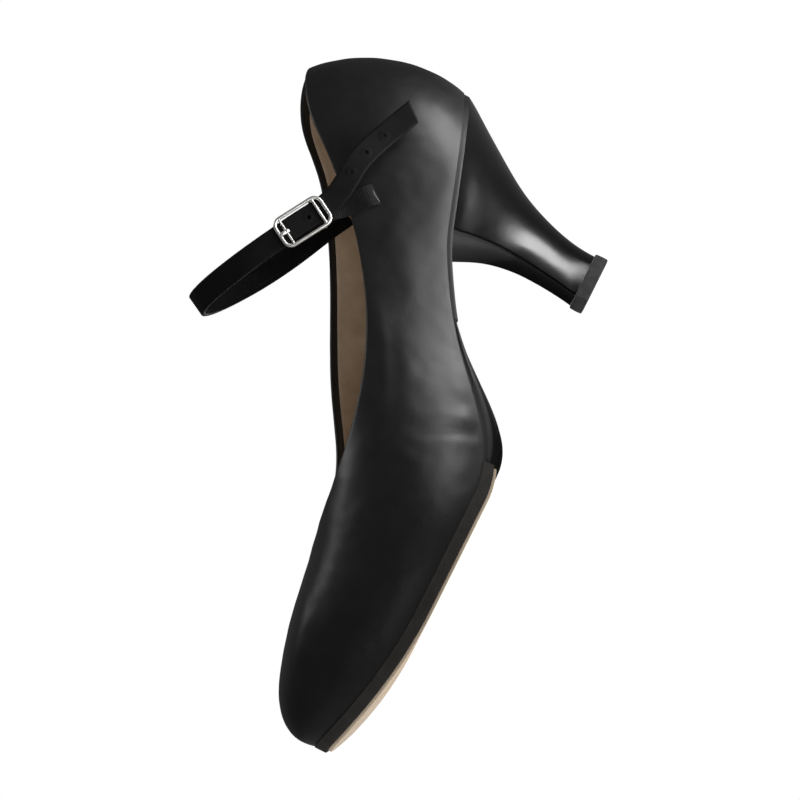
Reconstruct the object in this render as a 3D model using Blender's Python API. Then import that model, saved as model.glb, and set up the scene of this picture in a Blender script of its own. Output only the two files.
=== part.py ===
# Character shoe, left foot: a heeled dance court shoe with an instep strap and a buckle.
# +X runs to the toe, +Y to the outer side of the foot, +Z up. The origin is the middle of the
# top lift's lower face. Sizes are in millimetres and MM turns them into metres.

import math

import bmesh
import bpy
import numpy as np
from mathutils import Vector
from mathutils.bvhtree import BVHTree

MM = 0.001
GAP = 0.3                     # clearance between pieces that meet

# Driving sizes
UPPER_WALL = 1.8              # leather and lining together
SEAT_BACK_X = -41.6           # feather edge at the back of the heel
SEAT_BACK_Z = 74.0
BREAST_X = 12.0               # front of the heel, where the seat ends
BREAST_Z = 56.5
FLAT_START_X = 98.0           # the forefoot stands on the floor from here
FLAT_END_X = 141.0            # to here
FEATHER_Z = 5.5               # height of the feather edge over the flat spot
TOE_TIP_X = 195.5
TOE_SPRING = 10.4

FOREFOOT_SOLE_X = 84.6        # the split sole: rear end of the forefoot sole
FOREFOOT_SOLE_THICK = 3.6
TREAD_THICK = 1.3
TREAD_INSET = 0.8
SOLE_EDGE_OUT = 0.4           # the forefoot sole stands out past the feather edge
ARCH_START_X = 41.6
ARCH_EDGE_SHARE = 0.45        # edge thickness of the arch panel, as a share of its middle
SEAT_SOLE_THICK = 1.9
INSOLE_THICK = 1.6
INSOLE_INSET = 2.5

LIFT_THICK = 5.0
LIFT_LENGTH = 20.0
LIFT_WIDTH = 19.6
LIFT_CHAMFER = 0.5
BREAST_HOLLOW = 2.4           # how far the middle of the heel's front face lies back

STRAP_WIDTH = 8.0
STRAP_THICK = 1.6
STRAP_SLOPE = 29.0            # degrees, the instep strap rises to the front
ELASTIC_WIDTH = 8.0
ELASTIC_THICK = 0.9
BUCKLE_X = 34.8
BUCKLE_Z = 103.6
STRAP_Y = 26.8                # the strap's middle where it passes through the buckle
BUCKLE_LENGTH = 19.0
BUCKLE_WIDTH = 11.6
BUCKLE_CORNER = 3.0
WIRE = 1.3                    # buckle wire diameter
REAR_BAR_SPACING = 2.6        # the second bar lies this far in front of the rear end
REAR_BAR_SHARE = 0.42         # its radius, as a share of the wire's diameter
UNDER_BAR_PLACE = -6.2        # the bar that holds the elastic, behind the buckle's middle
UNDER_BAR_DEPTH = 4.4         # and below the frame
UNDER_BAR_RADIUS = 0.5
UNDER_BAR_BEND = 1.0          # bend of its two legs
FRAME_RADIUS = WIRE / 2.0
BUCKLE_CLEAR = 0.25           # between the frame, the strap and the prong
PRONG_RADIUS = 0.45
PRONG_ROWS = [(-6.4, -0.5), (-4.6, 0.1)]   # along from the front bar, height over the frame's middle
PRONG_OVER = (-2.2, 0.3)      # from here to here the prong lies over the front bar

ELASTIC_START = (13.5, 84.7)  # x and z where the elastic leaves the quarter
ELASTIC_SHARES = (0.0, 0.28, 0.56)   # places where it lies on the quarter
ELASTIC_PROBES = (-3.6, 0.0, 3.6)    # across it, where the quarter is looked up
ELASTIC_CLEAR = 0.35
ELASTIC_DROP = 0.5            # it sits this much below the middle of the under bar
ELASTIC_BEFORE_BAR = 1.2
ELASTIC_TAIL = 1.6            # the sewn-back end inside the wrap
ELASTIC_RUN_PITCH = 36.0
ELASTIC_BAR_PITCH = 33.0
ELASTIC_WRAP_PITCH = 30.0
ELASTIC_WRAP = (60.0, 20.0, -20.0, -60.0, -90.0)   # degrees round the under bar

END_TRIM = 0.12               # a round end stops this far short of its last point

RIB_COUNT = 84
RIB_STEPS = 10

# Half of the heel is the same on both sides, so these rows are used twice.
# x, y: feather edge. top: topline. out and up, out and down: the two handles of the rib's curve.
RIB_COLUMNS = ("x", "y", "topX", "topY", "topZ", "outLow", "upLow", "outHigh", "downHigh")
HEEL_BACK = ("heel back", SEAT_BACK_X, 0.0, -24.4, 0.0, 127.5, 5.5, 18.0, 14.5, 12.0)
REAR_ROWS = [
    ("heel corner", -32.0, 16.8, -19.5, 9.2, 127.2, 5.0, 18.0, 11.0, 13.0),
    ("heel side", -14.0, 25.0, -7.0, 16.6, 120.5, 3.6, 17.0, 8.0, 15.0),
    ("breast", 8.0, 26.4, 6.5, 21.2, 106.5, 2.6, 15.0, 5.2, 14.0),
]
LATERAL_ROWS = [
    ("waist back", 28.0, 26.2, 25.0, 24.3, 88.0, 2.6, 12.0, 3.6, 11.0),
    ("waist", 48.0, 26.8, 44.5, 26.4, 73.5, 2.6, 11.0, 2.8, 10.0),
    ("waist front", 68.0, 30.0, 62.5, 28.2, 64.0, 2.8, 13.0, 4.5, 10.0),
    ("ball back", 89.0, 35.0, 83.0, 28.4, 57.0, 3.0, 16.0, 7.0, 11.0),
    ("ball", 111.0, 38.4, 104.0, 25.5, 53.0, 3.0, 17.0, 9.5, 8.0),
    ("vamp side", 134.0, 35.6, 121.0, 18.0, 51.0, 2.8, 18.0, 12.0, 5.5),
    ("toe side", 158.0, 27.4, 130.5, 10.5, 49.2, 2.8, 20.0, 17.5, 4.5),
    ("toe corner", 180.5, 13.2, 135.6, 3.6, 48.2, 3.4, 19.8, 28.0, 5.0),
]
TOE_TIP = ("toe tip", TOE_TIP_X, -7.5, 137.2, -3.4, 47.8, 5.6, 19.6, 36.5, 5.5)
MEDIAL_ROWS = [
    ("toe corner", 185.0, -24.6, 135.4, -9.6, 47.9, 3.6, 19.6, 28.0, 5.0),
    ("toe side", 161.0, -37.0, 130.0, -15.2, 48.4, 2.8, 20.0, 17.5, 5.0),
    ("vamp side", 138.0, -41.0, 121.0, -20.4, 49.4, 2.8, 18.0, 12.0, 6.0),
    ("ball", 116.0, -38.8, 105.0, -25.6, 52.0, 2.8, 17.0, 9.0, 9.0),
    ("ball back", 94.0, -31.0, 89.0, -28.4, 58.5, 4.2, 17.0, 6.0, 12.0),
    ("waist front", 73.0, -23.4, 71.5, -28.4, 69.0, 7.0, 18.0, 4.0, 13.0),
    ("waist", 52.0, -20.0, 51.0, -27.4, 79.5, 7.0, 15.0, 3.0, 12.0),
    ("waist back", 30.0, -21.6, 29.0, -25.0, 91.0, 5.0, 14.0, 3.4, 12.0),
]

# Feather edge between the seat and the flat spot: x and z
WAIST_ROWS = [(BREAST_X, BREAST_Z), (30.0, 47.6), (47.0, 36.2), (64.0, 21.6),
              (80.0, 10.2), (90.0, 6.4), (FLAT_START_X, FEATHER_Z)]

# Arch panel: how thick it is in the middle
ARCH_ROWS = [(ARCH_START_X, 2.6), (52.0, 6.4), (62.0, 10.2), (71.0, 11.4), (78.5, 9.4), (84.1, 6.9)]

# Heel sections from the lift up: front x and z, back x and z, and width
HEEL_ROWS = [
    ("lift seat", 9.2, 5.3, -8.9, 5.3, 17.6),
    ("neck", 8.2, 12.0, -9.4, 12.0, 18.0),
    ("low shank", 7.2, 22.0, -11.8, 22.4, 20.4),
    ("shank", 6.9, 31.0, -17.2, 36.0, 25.2),
    ("low flare", 7.7, 39.6, -24.6, 48.0, 32.4),
    ("flare", 9.4, 46.6, -32.6, 59.4, 40.8),
    ("high flare", 11.0, 51.6, -38.4, 67.4, 47.4),
]
HEEL_STEPS = 12

# Strap, from the sewn end inside the inner quarter, over the instep and through the buckle
# to the free tail. The loop rows hold x and y. The sewn rows hold x, z and pitch, and the tail
# rows x, y, z and pitch. The pitch is how far the band rises to the front, in degrees.
STRAP_LOOP_ROWS = [(46.0, -25.6), (60.0, -19.4), (69.5, -9.6), (73.0, 1.5), (69.8, 12.2),
                   (62.0, 19.6), (53.0, 23.8)]
BUCKLE_TURN = 0.11            # plan slope of the strap's straight run through the buckle
BUCKLE_RUN = (9.6, 0.0, -9.2)  # places of that run along X, from the buckle's middle
SEWN_ROWS = [(13.0, 92.4, 26.0), (20.5, 96.4, 27.0)]
SEWN_PROBES = (0.5, 0.25, 0.0, -0.25, -0.5)   # across the strap, where the quarter is looked up
SEWN_CLEAR = 1.0
STRAP_LEAVES_ROW = (29.5, -21.8)
TAIL_ROWS = [
    (18.0, 29.2, 96.3, 18.0),
    (8.0, 31.0, 95.4, 13.0),
    (-3.5, 31.6, 92.0, 19.0),
    (-17.0, 33.4, 86.2, 26.0),
]

LEATHER = ("black leather", (0.012, 0.012, 0.013, 1.0), 0.42, 0.0)
LINING = ("insole leather", (0.42, 0.31, 0.21, 1.0), 0.6, 0.0)
SOLE_BLACK = ("black sole leather", (0.014, 0.013, 0.012, 1.0), 0.5, 0.0)
SUEDE = ("beige suede", (0.55, 0.42, 0.30, 1.0), 0.95, 0.0)
HEEL_GLOSS = ("gloss black plastic", (0.006, 0.006, 0.007, 1.0), 0.12, 0.0)
LIFT_RUBBER = ("dark rubber", (0.03, 0.03, 0.032, 1.0), 0.8, 0.0)
ELASTIC = ("black elastic", (0.01, 0.01, 0.011, 1.0), 0.9, 0.0)
NICKEL = ("polished nickel", (0.82, 0.80, 0.77, 1.0), 0.15, 1.0)


TUBE_GUIDE = Vector((0.3, 0.9, 0.2))   # starts the turn of a wire's section


def clearScene():
    for old in list(bpy.data.objects):
        bpy.data.objects.remove(old, do_unlink=True)


def makeMaterial(spec):
    name, colour, roughness, metallic = spec
    material = bpy.data.materials.get(name) or bpy.data.materials.new(name)
    material.use_nodes = True
    shader = material.node_tree.nodes["Principled BSDF"]
    shader.inputs["Base Color"].default_value = colour
    shader.inputs["Roughness"].default_value = roughness
    shader.inputs["Metallic"].default_value = metallic
    return material


def addObject(name, bm, spec):
    # Turns a bmesh in millimetres into a named object in metres.
    bmesh.ops.scale(bm, vec=(MM, MM, MM), verts=bm.verts)
    bmesh.ops.recalc_face_normals(bm, faces=bm.faces)
    mesh = bpy.data.meshes.new(name)
    bm.to_mesh(mesh)
    bm.free()
    mesh.shade_smooth()
    mesh.set_sharp_from_angle(angle=math.radians(35.0))
    mesh.materials.append(makeMaterial(spec))
    thing = bpy.data.objects.new(name, mesh)
    bpy.context.scene.collection.objects.link(thing)
    return thing


def cubicThrough(knots, values, closed=False, slopes=None):
    # A smooth curve through the values. slopes gives the end slopes of an open curve.
    knots = np.asarray(knots, float)
    values = np.asarray(values, float)
    count = len(knots)
    if closed:
        spans = np.diff(knots)
        size = count - 1
        grid = np.zeros((size, size))
        right = np.zeros((size,) + values.shape[1:])
        for i in range(size):
            before, after = spans[i - 1], spans[i]
            grid[i, i - 1] += before
            grid[i, i] += 2.0 * (before + after)
            grid[i, (i + 1) % size] += after
            rise = (values[i + 1] - values[i]) / after
            fall = (values[i] - values[i - 1 if i else size - 1]) / before
            right[i] = 6.0 * (rise - fall)
        bend = np.linalg.solve(grid, right)
        bend = np.concatenate([bend, bend[:1]])
    else:
        spans = np.diff(knots)
        grid = np.zeros((count, count))
        right = np.zeros((count,) + values.shape[1:])
        grid[0, 0] = grid[-1, -1] = 1.0
        for i in range(1, count - 1):
            grid[i, i - 1:i + 2] = spans[i - 1], 2.0 * (spans[i - 1] + spans[i]), spans[i]
            rise = (values[i + 1] - values[i]) / spans[i]
            fall = (values[i] - values[i - 1]) / spans[i - 1]
            right[i] = 6.0 * (rise - fall)
        if slopes:
            grid[0, 0:2] = 2.0 * spans[0], spans[0]
            right[0] = 6.0 * ((values[1] - values[0]) / spans[0] - slopes[0])
            grid[-1, -2:] = spans[-1], 2.0 * spans[-1]
            right[-1] = 6.0 * (slopes[1] - (values[-1] - values[-2]) / spans[-1])
        bend = np.linalg.solve(grid, right)

    def at(place):
        i = int(np.clip(np.searchsorted(knots, place) - 1, 0, count - 2))
        span = knots[i + 1] - knots[i]
        a = (knots[i + 1] - place) / span
        b = (place - knots[i]) / span
        curve = (a ** 3 - a) * bend[i] + (b ** 3 - b) * bend[i + 1]
        return a * values[i] + b * values[i + 1] + curve * span * span / 6.0

    return at


SEAT_SLOPE = (BREAST_Z - SEAT_BACK_Z) / (BREAST_X - SEAT_BACK_X)
waistCurve = cubicThrough([row[0] for row in WAIST_ROWS], [row[1] for row in WAIST_ROWS],
                          slopes=(SEAT_SLOPE, 0.0))


def featherZ(x):
    # Height of the feather edge: flat seat, waist, flat spot, toe spring.
    if x < BREAST_X:
        return BREAST_Z + (x - BREAST_X) * SEAT_SLOPE
    if x < FLAT_START_X:
        return float(waistCurve(x))
    if x < FLAT_END_X:
        return FEATHER_Z
    return FEATHER_Z + TOE_SPRING * ((x - FLAT_END_X) / (TOE_TIP_X - FLAT_END_X)) ** 2


def soleTop(x):
    return featherZ(x) - GAP


def ribTable():
    mirrored = []
    for row in reversed(REAR_ROWS):
        values = dict(zip(RIB_COLUMNS, row[1:]))
        values["y"] = -values["y"]
        values["topY"] = -values["topY"]
        mirrored.append([values[column] for column in RIB_COLUMNS])
    rows = [row[1:] for row in [HEEL_BACK] + REAR_ROWS + LATERAL_ROWS + [TOE_TIP] + MEDIAL_ROWS]
    rows = [list(row) for row in rows] + mirrored
    return np.array(rows + rows[:1])


ribRows = ribTable()
ribKnots = np.concatenate([[0.0], np.cumsum(np.hypot(*np.diff(ribRows[:, :2], axis=0).T))])
ribCurve = cubicThrough(ribKnots, ribRows, closed=True)


def outward(place):
    # Unit plan normal of the feather edge at a distance along it.
    step = 0.5
    total = ribKnots[-1]
    ahead = ribCurve((place + step) % total)[:2]
    behind = ribCurve((place - step) % total)[:2]
    along = Vector(ahead - behind).normalized()
    return Vector((-along.y, along.x, 0.0))


def rib(place, steps):
    # One rib of the upper, from the feather edge to the topline.
    x, y, topX, topY, topZ, outLow, upLow, outHigh, downHigh = ribCurve(place)
    side = outward(place)
    foot = Vector((x, y, featherZ(x)))
    top = Vector((topX, topY, topZ))
    low = foot + side * outLow + Vector((0.0, 0.0, upLow))
    high = top + side * outHigh - Vector((0.0, 0.0, downHigh))
    points = []
    for step in range(steps + 1):
        t = step / steps
        s = 1.0 - t
        points.append(foot * s ** 3 + low * 3 * s * s * t + high * 3 * s * t * t + top * t ** 3)
    return points


def outerGrid(count, steps):
    total = ribKnots[-1]
    return [rib(total * i / count, steps) for i in range(count)]


def gridNormals(grid):
    count, steps = len(grid), len(grid[0])
    normals = []
    for i in range(count):
        column = []
        for j in range(steps):
            around = grid[(i + 1) % count][j] - grid[i - 1][j]
            up = grid[i][min(j + 1, steps - 1)] - grid[i][max(j - 1, 0)]
            column.append(up.cross(around).normalized())
        normals.append(column)
    return normals


def innerGrid(grid):
    normals = gridNormals(grid)
    inner = []
    for column, directions in zip(grid, normals):
        shifted = [point - direction * UPPER_WALL for point, direction in zip(column, directions)]
        shifted[0].z = featherZ(shifted[0].x)
        inner.append(shifted)
    return inner


def closedRingMesh(loops):
    # Joins closed loops into a tube that closes on itself, such as a hollow wall.
    bm = bmesh.new()
    rows = [[bm.verts.new(point) for point in loop] for loop in loops]
    for k, row in enumerate(rows):
        following = rows[(k + 1) % len(rows)]
        for i in range(len(row)):
            j = (i + 1) % len(row)
            bm.faces.new((row[i], row[j], following[j], following[i]))
    return bm


def loftMesh(rings):
    # Joins closed rings and caps both ends.
    bm = bmesh.new()
    rows = [[bm.verts.new(point) for point in ring] for ring in rings]
    for row, following in zip(rows, rows[1:]):
        for i in range(len(row)):
            j = (i + 1) % len(row)
            bm.faces.new((row[i], row[j], following[j], following[i]))
    bm.faces.new(rows[0])
    bm.faces.new(rows[-1])
    return bm


def makeUpper():
    outer = outerGrid(RIB_COUNT, RIB_STEPS)
    inner = innerGrid(outer)
    loops = []
    for step in range(RIB_STEPS + 1):
        loops.append([column[step] for column in outer])
    for step in range(RIB_STEPS, -1, -1):
        loops.append([column[step] for column in inner])
    return addObject("upper", closedRingMesh(loops), LEATHER)


class Outline:
    # The feather edge seen from above, moved in by inset, as side widths along x.
    def __init__(self, inset):
        samples = 480
        total = ribKnots[-1]
        points = []
        for i in range(samples):
            place = total * i / samples
            x, y = ribCurve(place)[:2]
            side = outward(place)
            points.append((x - side.x * inset, y - side.y * inset))
        points = np.array(points)
        back = int(points[:, 0].argmin())
        points = np.roll(points, -back, axis=0)
        tip = int(points[:, 0].argmax())
        self.lateralPoints = points[:tip + 1]
        self.medialPoints = np.concatenate([points[tip:], points[:1]])[::-1]
        self.minX = float(points[0, 0])
        self.maxX = float(points[tip, 0])

    def lateral(self, x):
        return float(np.interp(x, self.lateralPoints[:, 0], self.lateralPoints[:, 1]))

    def medial(self, x):
        return float(np.interp(x, self.medialPoints[:, 0], self.medialPoints[:, 1]))


def stationsBetween(start, end, count, easeStart, easeEnd):
    # Places along x, closer together at an end that is round.
    places = []
    for i in range(count + 1):
        t = i / count
        if easeStart and easeEnd:
            t = (1.0 - math.cos(math.pi * t)) / 2.0
        elif easeEnd:
            t = math.sin(math.pi / 2.0 * t)
        elif easeStart:
            t = 1.0 - math.cos(math.pi / 2.0 * t)
        places.append(start + (end - start) * t)
    return places


def makePlate(name, spec, inset, places, topAt, bottomAt, chamfer=0.4, across=4):
    # A plate between two surfaces, with the shoe's outline. topAt and bottomAt take x and
    # the place across, from -1 at the inner edge to 1 at the outer edge.
    outline = Outline(inset)
    rings = []
    for x in places:
        low, high = outline.medial(x), outline.lateral(x)
        middle, half = (low + high) / 2.0, (high - low) / 2.0
        ring = []
        for i in range(across + 1):
            share = 2.0 * i / across - 1.0
            ring.append((x, middle + half * share, topAt(x, share)))
        inner = max(half - chamfer, half * 0.6)
        ring.append((x, middle + half, bottomAt(x, 1.0) + chamfer))
        for i in range(across, -1, -1):
            share = 2.0 * i / across - 1.0
            ring.append((x, middle + inner * share, bottomAt(x, share)))
        ring.append((x, middle - half, bottomAt(x, -1.0) + chamfer))
        rings.append(ring)
    return addObject(name, loftMesh(rings), spec)


def makeForefootSole():
    outline = Outline(-SOLE_EDGE_OUT)
    places = stationsBetween(FOREFOOT_SOLE_X, outline.maxX - END_TRIM, 22, False, True)
    return makePlate("forefoot_sole", SOLE_BLACK, -SOLE_EDGE_OUT, places,
                     lambda x, share: soleTop(x),
                     lambda x, share: soleTop(x) - FOREFOOT_SOLE_THICK)


def treadBottom(x):
    return soleTop(x) - FOREFOOT_SOLE_THICK - GAP - TREAD_THICK


def makeTread():
    outline = Outline(TREAD_INSET)
    places = stationsBetween(FOREFOOT_SOLE_X + TREAD_INSET, outline.maxX - END_TRIM, 22, False, True)
    return makePlate("suede_tread", SUEDE, TREAD_INSET, places,
                     lambda x, share: treadBottom(x) + TREAD_THICK,
                     lambda x, share: treadBottom(x), chamfer=0.3)


def makeArchPanel():
    thickness = cubicThrough([row[0] for row in ARCH_ROWS], [row[1] for row in ARCH_ROWS])
    places = stationsBetween(ARCH_START_X, ARCH_ROWS[-1][0], 12, False, False)

    def bottom(x, share):
        shape = ARCH_EDGE_SHARE + (1.0 - ARCH_EDGE_SHARE) * (1.0 - share * share)
        return soleTop(x) - float(thickness(x)) * shape

    return makePlate("arch_panel", SOLE_BLACK, 0.2, places,
                     lambda x, share: soleTop(x), bottom, chamfer=0.4, across=8)


def makeSeatSole():
    outline = Outline(0.4)
    end = ARCH_START_X - GAP
    places = stationsBetween(outline.minX + END_TRIM, BREAST_X + 4.0, 14, True, False)
    places += stationsBetween(BREAST_X + 4.0, end, 6, False, False)[1:]
    return makePlate("seat_sole", SOLE_BLACK, 0.4, places,
                     lambda x, share: soleTop(x),
                     lambda x, share: soleTop(x) - SEAT_SOLE_THICK)


def makeInsole():
    outline = Outline(INSOLE_INSET)
    places = stationsBetween(outline.minX + END_TRIM, outline.maxX - END_TRIM, 34, True, True)
    return makePlate("insole", LINING, INSOLE_INSET, places,
                     lambda x, share: featherZ(x) + INSOLE_THICK,
                     lambda x, share: featherZ(x), chamfer=0.3)


def heelRing(front, back, width, shape, hollow):
    # A D-shaped section from its front and back points. shape gives the half width at a
    # share of the way from back to front, 1 at the widest.
    ring = []
    shares = stationsBetween(0.0, 1.0, 9, True, False)
    for share in reversed(shares[1:]):
        ring.append((front - back) * share + back + Vector((0, width / 2 * shape(share), 0)))
    ring.append(back.copy())
    for share in shares[1:]:
        ring.append((front - back) * share + back - Vector((0, width / 2 * shape(share), 0)))
    corner = width / 2 * shape(1.0)
    breastSteps = 6
    for i in range(1, breastSteps):
        across = -1.0 + 2.0 * i / breastSteps
        dip = hollow * (1.0 - across * across)
        place = front + Vector((0, corner * across, 0))
        ring.append(place + (back - front).normalized() * dip)
    return ring


def seatShape():
    # Half width of the heel seat along its length, from the feather edge.
    outline = Outline(0.5)
    length = BREAST_X - outline.minX
    widest = outline.lateral(BREAST_X)

    def shape(share):
        x = outline.minX + length * max(share, 0.0)
        return outline.lateral(x) / widest

    return shape, 2.0 * widest, outline.minX


def makeHeel():
    shape, seatWidth, seatBackX = seatShape()
    drop = SEAT_SOLE_THICK + 2 * GAP
    seatRow = ("seat", BREAST_X, BREAST_Z - drop, seatBackX, featherZ(seatBackX) - drop, seatWidth)
    rows = np.array([row[1:] for row in HEEL_ROWS + [seatRow]])
    curve = cubicThrough(range(len(rows)), rows)
    rings = []
    for i in range(HEEL_STEPS + 1):
        frontX, frontZ, backX, backZ, width = curve((len(rows) - 1) * i / HEEL_STEPS)
        front = Vector((frontX, 0.0, frontZ))
        back = Vector((backX, 0.0, backZ))
        rings.append(heelRing(front, back, width, shape, BREAST_HOLLOW))
    return addObject("heel", loftMesh(rings), HEEL_GLOSS)


def makeTopLift():
    shape, _, _ = seatShape()
    rings = []
    for z, cut in ((0.0, LIFT_CHAMFER), (LIFT_CHAMFER, 0.0), (LIFT_THICK, 0.3)):
        front = Vector((LIFT_LENGTH / 2 - cut, 0.0, z))
        back = Vector((-LIFT_LENGTH / 2 + cut, 0.0, z))
        rings.append(heelRing(front, back, LIFT_WIDTH - 2 * cut, shape, 0.8))
    return addObject("top_lift", loftMesh(rings), LIFT_RUBBER)


def bandFrames(rows, spacing):
    # Points along a smooth path with the band's direction, width direction and face normal.
    rows = np.array(rows)
    lengths = np.linalg.norm(np.diff(rows[:, :3], axis=0), axis=1)
    knots = np.concatenate([[0.0], np.cumsum(lengths)])
    curve = cubicThrough(knots, rows)
    count = max(2, round(knots[-1] / spacing))
    frames = []
    for i in range(count + 1):
        place = knots[-1] * i / count
        here = curve(place)
        ahead = curve(min(place + 0.2, knots[-1]))
        behind = curve(max(place - 0.2, 0.0))
        along = Vector((ahead - behind)[:3]).normalized()
        pitch = math.radians(here[3])
        rising = Vector((-math.sin(pitch), 0.0, math.cos(pitch)))
        face = rising.cross(along).normalized()
        across = along.cross(face).normalized()
        frames.append((Vector(here[:3]), along, across, face))
    return frames


def bandMesh(frames, width, thick, roundEnd=False):
    # A flat band with slightly rounded edges.
    half, depth, edge = width / 2.0, thick / 2.0, thick * 0.3
    section = [(half - edge, depth), (half, depth - edge), (half, edge - depth), (half - edge, -depth),
               (edge - half, -depth), (-half, edge - depth), (-half, depth - edge), (edge - half, depth)]
    rings = []
    for point, _, across, face in frames:
        rings.append([point + across * a + face * b for a, b in section])
    if roundEnd:
        point, along, across, face = frames[-1]
        for reach, share in ((1.2, 0.86), (1.9, 0.62)):
            centre = point + along * reach
            rings.append([centre + across * a * share + face * b for a, b in section])
    return loftMesh(rings)


class Sides:
    # Finds the upper's surface on either side of the shoe at a given x and z.
    def __init__(self):
        outer = outerGrid(RIB_COUNT, RIB_STEPS)
        self.outerTree = self.tree(outer)
        self.innerTree = self.tree(innerGrid(outer))

    def tree(self, grid):
        count, steps = len(grid), len(grid[0])
        points = [point for column in grid for point in column]
        faces = []
        for i in range(count):
            for j in range(steps - 1):
                k = (i + 1) % count
                faces.append((i * steps + j, k * steps + j, k * steps + j + 1, i * steps + j + 1))
        return BVHTree.FromPolygons(points, faces)

    def outside(self, x, z):
        hit = self.outerTree.ray_cast(Vector((x, 80.0, z)), Vector((0.0, -1.0, 0.0)))[0]
        return hit.y if hit and hit.y > 0 else None

    def insideMedial(self, x, z):
        hit = self.innerTree.ray_cast(Vector((x, 0.0, z)), Vector((0.0, -1.0, 0.0)))[0]
        return hit.y if hit else None


def loopZ(x):
    return BUCKLE_Z + (x - BUCKLE_X) * math.tan(math.radians(STRAP_SLOPE))


def strapRows(sides):
    rows = []
    for x, z, pitch in SEWN_ROWS:
        found = [sides.insideMedial(x, z - STRAP_WIDTH * share) for share in SEWN_PROBES]
        nearest = max(y for y in found if y is not None)
        rows.append((x, nearest + STRAP_THICK / 2.0 + SEWN_CLEAR, z, pitch))
    x, y = STRAP_LEAVES_ROW
    rows.append((x, y, loopZ(x), STRAP_SLOPE))
    rows += [(x, y, loopZ(x), STRAP_SLOPE) for x, y in STRAP_LOOP_ROWS]
    for along in BUCKLE_RUN:
        x = BUCKLE_X + along
        rows.append((x, STRAP_Y - BUCKLE_TURN * along, loopZ(x), STRAP_SLOPE))
    return rows + TAIL_ROWS


def makeStrap(sides):
    frames = bandFrames(strapRows(sides), 4.0)
    return addObject("strap", bandMesh(frames, STRAP_WIDTH, STRAP_THICK, roundEnd=True), LEATHER)


def buckleFrame(sides):
    # Where the buckle sits: its centre, forward, width and outward directions.
    frames = bandFrames(strapRows(sides), 0.5)
    target = Vector((BUCKLE_X, STRAP_Y, BUCKLE_Z))
    point, along, across, face = min(frames, key=lambda frame: (frame[0] - target).length)
    forward = -along
    if face.y < 0:
        face = -face
    rising = across if across.z > 0 else -across
    lift = STRAP_THICK / 2.0 + BUCKLE_CLEAR + FRAME_RADIUS
    return point + face * lift, forward, rising, face


def tubeMesh(points, radius, closed=False, sides=8):
    # A round wire along points.
    rings = []
    count = len(points)
    previous = TUBE_GUIDE
    for i, point in enumerate(points):
        before = points[i - 1] if (i or closed) else point
        after = points[(i + 1) % count] if (i + 1 < count or closed) else point
        along = (after - before).normalized()
        first = (previous - along * previous.dot(along)).normalized()
        second = along.cross(first)
        previous = first
        ring = []
        for k in range(sides):
            angle = 2.0 * math.pi * k / sides
            ring.append(point + (first * math.cos(angle) + second * math.sin(angle)) * radius)
        rings.append(ring)
    return closedRingMesh(rings) if closed else loftMesh(rings)


def roundedRectangle(length, width, corner, steps=4):
    points = []
    for signA, signB, start in ((1, 1, 0), (-1, 1, 90), (-1, -1, 180), (1, -1, 270)):
        centre = (signA * (length / 2 - corner), signB * (width / 2 - corner))
        for i in range(steps + 1):
            angle = math.radians(start + 90.0 * i / steps)
            points.append((centre[0] + corner * math.cos(angle), centre[1] + corner * math.sin(angle)))
    return points


def joinInto(base, part):
    # Boolean union of a helper into a base object, then the helper is removed.
    union = base.modifiers.new("join", "BOOLEAN")
    union.operation = "UNION"
    union.solver = "EXACT"
    union.object = part
    depsgraph = bpy.context.evaluated_depsgraph_get()
    joined = bpy.data.meshes.new_from_object(base.evaluated_get(depsgraph))
    base.modifiers.clear()
    old = base.data
    base.data = joined
    bpy.data.meshes.remove(old)
    bpy.data.objects.remove(part, do_unlink=True)


def makeBuckle(sides):
    centre, forward, rising, face = buckleFrame(sides)

    def at(a, b, c=0.0):
        return centre + forward * a + rising * b + face * c

    half = BUCKLE_WIDTH / 2.0
    outline = [at(a, b) for a, b in roundedRectangle(BUCKLE_LENGTH, BUCKLE_WIDTH, BUCKLE_CORNER)]
    frame = addObject("buckle_frame", tubeMesh(outline, FRAME_RADIUS, closed=True), NICKEL)
    rear = REAR_BAR_SPACING - BUCKLE_LENGTH / 2.0
    bar = addObject("bar", tubeMesh([at(rear, -half), at(rear, half)], WIRE * REAR_BAR_SHARE), NICKEL)
    joinInto(frame, bar)
    bend, deep = UNDER_BAR_BEND, -UNDER_BAR_DEPTH
    route = [(half, 0.0), (half, bend + deep), (half - bend * 0.3, bend * 0.3 + deep), (half - bend, deep)]
    route += [(-b, c) for b, c in reversed(route)]
    legs = [at(UNDER_BAR_PLACE, b, c) for b, c in route]
    under = addObject("under bar", tubeMesh(legs, UNDER_BAR_RADIUS), NICKEL)
    joinInto(frame, under)
    return frame


def makeProng(sides):
    # A flat hook that lies in the buckle's window, its tip close above the front bar.
    centre, forward, rising, face = buckleFrame(sides)
    front = BUCKLE_LENGTH / 2.0
    over = FRAME_RADIUS + BUCKLE_CLEAR + PRONG_RADIUS
    route = PRONG_ROWS + [(along, over) for along in PRONG_OVER]
    points = [centre + forward * (front + along) + face * rise for along, rise in route]
    return addObject("buckle_prong", tubeMesh(points, PRONG_RADIUS, sides=8), NICKEL)


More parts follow.
